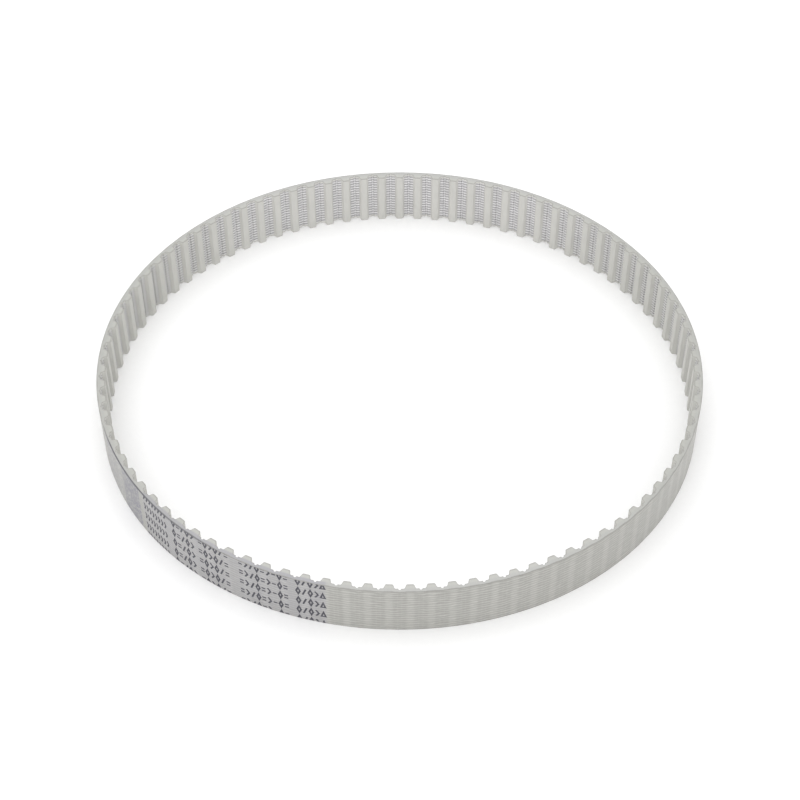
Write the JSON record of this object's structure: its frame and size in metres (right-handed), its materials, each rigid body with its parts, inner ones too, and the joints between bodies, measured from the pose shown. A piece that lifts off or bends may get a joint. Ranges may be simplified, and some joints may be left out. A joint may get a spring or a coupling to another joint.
{
  "type": "timing belt",
  "caption": "Endless toothed synchronous belt of milky polyurethane with steel tension cords, a smooth printed back and trapezoidal teeth inside, standing on edge.",
  "frame": {"origin": "centre of the loop, on the plane of its lower edge", "axes": "+Z runs across the belt's width, from the lower edge to the upper one; +X runs along the long way of the resting oval and +Y along its short way, away from the printed side"},
  "size_m": [0.1532, 0.138, 0.016],
  "materials": {
    "polyurethane": "satin",
    "cord_steel": "satin",
    "marking_ink": "matte"
  },
  "bodies": {
    "segment_01": {"belt_segment_01": "polyurethane", "steel_cords_01": "cord_steel"},
    "segment_02": {"belt_segment_02": "polyurethane", "steel_cords_02": "cord_steel"},
    "segment_03": {"belt_segment_03": "polyurethane", "steel_cords_03": "cord_steel"},
    "segment_04": {"belt_segment_04": "polyurethane", "steel_cords_04": "cord_steel"},
    "segment_05": {"belt_segment_05": "polyurethane", "steel_cords_05": "cord_steel"},
    "segment_06": {"belt_segment_06": "polyurethane", "steel_cords_06": "cord_steel"},
    "segment_07": {"belt_segment_07": "polyurethane", "steel_cords_07": "cord_steel"},
    "segment_08": {"belt_segment_08": "polyurethane", "steel_cords_08": "cord_steel"},
    "segment_09": {"belt_segment_09": "polyurethane", "steel_cords_09": "cord_steel"},
    "segment_10": {"belt_segment_10": "polyurethane", "steel_cords_10": "cord_steel"},
    "segment_11": {"belt_segment_11": "polyurethane", "steel_cords_11": "cord_steel"},
    "segment_12": {"belt_segment_12": "polyurethane", "steel_cords_12": "cord_steel"},
    "segment_13": {"belt_segment_13": "polyurethane", "steel_cords_13": "cord_steel"},
    "segment_14": {"belt_segment_14": "polyurethane", "steel_cords_14": "cord_steel"},
    "segment_15": {"belt_segment_15": "polyurethane", "steel_cords_15": "cord_steel"},
    "segment_16": {"belt_segment_16": "polyurethane", "steel_cords_16": "cord_steel"},
    "segment_17": {"belt_segment_17": "polyurethane", "steel_cords_17": "cord_steel"},
    "segment_18": {"belt_segment_18": "polyurethane", "steel_cords_18": "cord_steel"},
    "segment_19": {"belt_segment_19": "polyurethane", "steel_cords_19": "cord_steel"},
    "segment_20": {"belt_segment_20": "polyurethane", "steel_cords_20": "cord_steel"},
    "segment_21": {"belt_segment_21": "polyurethane", "steel_cords_21": "cord_steel"},
    "segment_22": {"belt_segment_22": "polyurethane", "steel_cords_22": "cord_steel"},
    "segment_23": {"belt_segment_23": "polyurethane", "steel_cords_23": "cord_steel", "printed_marks_23": "marking_ink"},
    "segment_24": {"belt_segment_24": "polyurethane", "steel_cords_24": "cord_steel", "printed_marks_24": "marking_ink"},
    "segment_25": {"belt_segment_25": "polyurethane", "steel_cords_25": "cord_steel", "printed_marks_25": "marking_ink"},
    "segment_26": {"belt_segment_26": "polyurethane", "steel_cords_26": "cord_steel", "printed_marks_26": "marking_ink"}
  },
  "joints": [
    {"name": "bend_01", "type": "hinge", "parent": "segment_01", "child": "segment_02", "pos_m": [0.00998, -0.06789, 0.008], "axis": [0, 0, 1], "range_deg": [-11.19, 15.46]},
    {"name": "bend_02", "type": "hinge", "parent": "segment_02", "child": "segment_03", "pos_m": [0.02464, -0.06484, 0.008], "axis": [0, 0, 1], "range_deg": [-8.63, 11.92]},
    {"name": "bend_03", "type": "hinge", "parent": "segment_03", "child": "segment_04", "pos_m": [0.04287, -0.05672, 0.008], "axis": [0, 0, 1], "range_deg": [-4.1, 5.66]},
    {"name": "bend_04", "type": "hinge", "parent": "segment_04", "child": "segment_05", "pos_m": [0.05482, -0.0477, 0.008], "axis": [0, 0, 1], "range_deg": [-1.94, 1.41]},
    {"name": "bend_05", "type": "hinge", "parent": "segment_05", "child": "segment_06", "pos_m": [0.0673, -0.03217, 0.008], "axis": [0, 0, 1], "range_deg": [-9.05, 6.55]},
    {"name": "bend_06", "type": "hinge", "parent": "segment_06", "child": "segment_07", "pos_m": [0.07334, -0.01847, 0.008], "axis": [0, 0, 1], "range_deg": [-14.1, 10.2]},
    {"name": "bend_07", "type": "hinge", "parent": "segment_07", "child": "segment_08", "pos_m": [0.07611, 0.00125, 0.008], "axis": [0, 0, 1], "range_deg": [-15.9, 11.5], "stiffness_Nm_per_rad": 0.2},
    {"name": "bend_08", "type": "hinge", "parent": "segment_08", "child": "segment_09", "pos_m": [0.07402, 0.01607, 0.008], "axis": [0, 0, 1], "range_deg": [-14.1, 10.2]},
    {"name": "bend_09", "type": "hinge", "parent": "segment_09", "child": "segment_10", "pos_m": [0.06601, 0.0343, 0.008], "axis": [0, 0, 1], "range_deg": [-9.05, 6.55]},
    {"name": "bend_26", "type": "hinge", "parent": "segment_01", "child": "segment_26", "pos_m": [-0.00998, -0.06789, 0.008], "axis": [0, 0, -1], "range_deg": [-11.19, 15.46]},
    {"name": "bend_25", "type": "hinge", "parent": "segment_26", "child": "segment_25", "pos_m": [-0.02464, -0.06484, 0.008], "axis": [0, 0, -1], "range_deg": [-8.63, 11.92]},
    {"name": "bend_24", "type": "hinge", "parent": "segment_25", "child": "segment_24", "pos_m": [-0.04287, -0.05672, 0.008], "axis": [0, 0, -1], "range_deg": [-4.1, 5.66]},
    {"name": "bend_23", "type": "hinge", "parent": "segment_24", "child": "segment_23", "pos_m": [-0.05482, -0.0477, 0.008], "axis": [0, 0, -1], "range_deg": [-1.94, 1.41]},
    {"name": "bend_22", "type": "hinge", "parent": "segment_23", "child": "segment_22", "pos_m": [-0.0673, -0.03217, 0.008], "axis": [0, 0, -1], "range_deg": [-9.05, 6.55]},
    {"name": "bend_21", "type": "hinge", "parent": "segment_22", "child": "segment_21", "pos_m": [-0.07334, -0.01847, 0.008], "axis": [0, 0, -1], "range_deg": [-14.1, 10.2]},
    {"name": "bend_20", "type": "hinge", "parent": "segment_21", "child": "segment_20", "pos_m": [-0.07611, 0.00125, 0.008], "axis": [0, 0, -1], "range_deg": [-15.92, 11.52]},
    {"name": "bend_19", "type": "hinge", "parent": "segment_20", "child": "segment_19", "pos_m": [-0.07402, 0.01607, 0.008], "axis": [0, 0, -1], "range_deg": [-14.1, 10.2]},
    {"name": "bend_18", "type": "hinge", "parent": "segment_19", "child": "segment_18", "pos_m": [-0.06601, 0.0343, 0.008], "axis": [0, 0, -1], "range_deg": [-9.05, 6.55]},
    {"name": "bend_17", "type": "hinge", "parent": "segment_18", "child": "segment_17", "pos_m": [-0.05661, 0.04596, 0.008], "axis": [0, 0, -1], "range_deg": [-1.94, 1.41]},
    {"name": "bend_16", "type": "hinge", "parent": "segment_17", "child": "segment_16", "pos_m": [-0.04071, 0.05799, 0.008], "axis": [0, 0, -1], "range_deg": [-4.1, 5.66]},
    {"name": "bend_15", "type": "hinge", "parent": "segment_16", "child": "segment_15", "pos_m": [-0.02702, 0.06407, 0.008], "axis": [0, 0, -1], "range_deg": [-8.63, 11.92]},
    {"name": "bend_14", "type": "hinge", "parent": "segment_15", "child": "segment_14", "pos_m": [-0.00749, 0.06814, 0.008], "axis": [0, 0, -1], "range_deg": [-11.19, 15.46]},
    {"name": "bend_13", "type": "hinge", "parent": "segment_14", "child": "segment_13", "pos_m": [0.00749, 0.06814, 0.008], "axis": [0, 0, -1], "range_deg": [-11.19, 15.46]},
    {"name": "bend_12", "type": "hinge", "parent": "segment_13", "child": "segment_12", "pos_m": [0.02702, 0.06407, 0.008], "axis": [0, 0, -1], "range_deg": [-8.63, 11.92]},
    {"name": "bend_11", "type": "hinge", "parent": "segment_12", "child": "segment_11", "pos_m": [0.04071, 0.05799, 0.008], "axis": [0, 0, -1], "range_deg": [-4.1, 5.66]}
  ],
  "couplings": [
    {"joint": "bend_01", "follows": "bend_07", "ratio": -0.97094},
    {"joint": "bend_02", "follows": "bend_07", "ratio": -0.74851},
    {"joint": "bend_03", "follows": "bend_07", "ratio": -0.35461},
    {"joint": "bend_04", "follows": "bend_07", "ratio": 0.12054},
    {"joint": "bend_05", "follows": "bend_07", "ratio": 0.56807},
    {"joint": "bend_06", "follows": "bend_07", "ratio": 0.88546},
    {"joint": "bend_08", "follows": "bend_07", "ratio": 0.88546},
    {"joint": "bend_09", "follows": "bend_07", "ratio": 0.56807},
    {"joint": "bend_26", "follows": "bend_07", "ratio": -0.97094},
    {"joint": "bend_25", "follows": "bend_07", "ratio": -0.74851},
    {"joint": "bend_24", "follows": "bend_07", "ratio": -0.35461},
    {"joint": "bend_23", "follows": "bend_07", "ratio": 0.12054},
    {"joint": "bend_22", "follows": "bend_07", "ratio": 0.56807},
    {"joint": "bend_21", "follows": "bend_07", "ratio": 0.88546},
    {"joint": "bend_20", "follows": "bend_07", "ratio": 1},
    {"joint": "bend_19", "follows": "bend_07", "ratio": 0.88546},
    {"joint": "bend_18", "follows": "bend_07", "ratio": 0.56807},
    {"joint": "bend_17", "follows": "bend_07", "ratio": 0.12054},
    {"joint": "bend_16", "follows": "bend_07", "ratio": -0.35461},
    {"joint": "bend_15", "follows": "bend_07", "ratio": -0.74851},
    {"joint": "bend_14", "follows": "bend_07", "ratio": -0.97094},
    {"joint": "bend_13", "follows": "bend_07", "ratio": -0.97094},
    {"joint": "bend_12", "follows": "bend_07", "ratio": -0.74851},
    {"joint": "bend_11", "follows": "bend_07", "ratio": -0.35461}
  ]
}
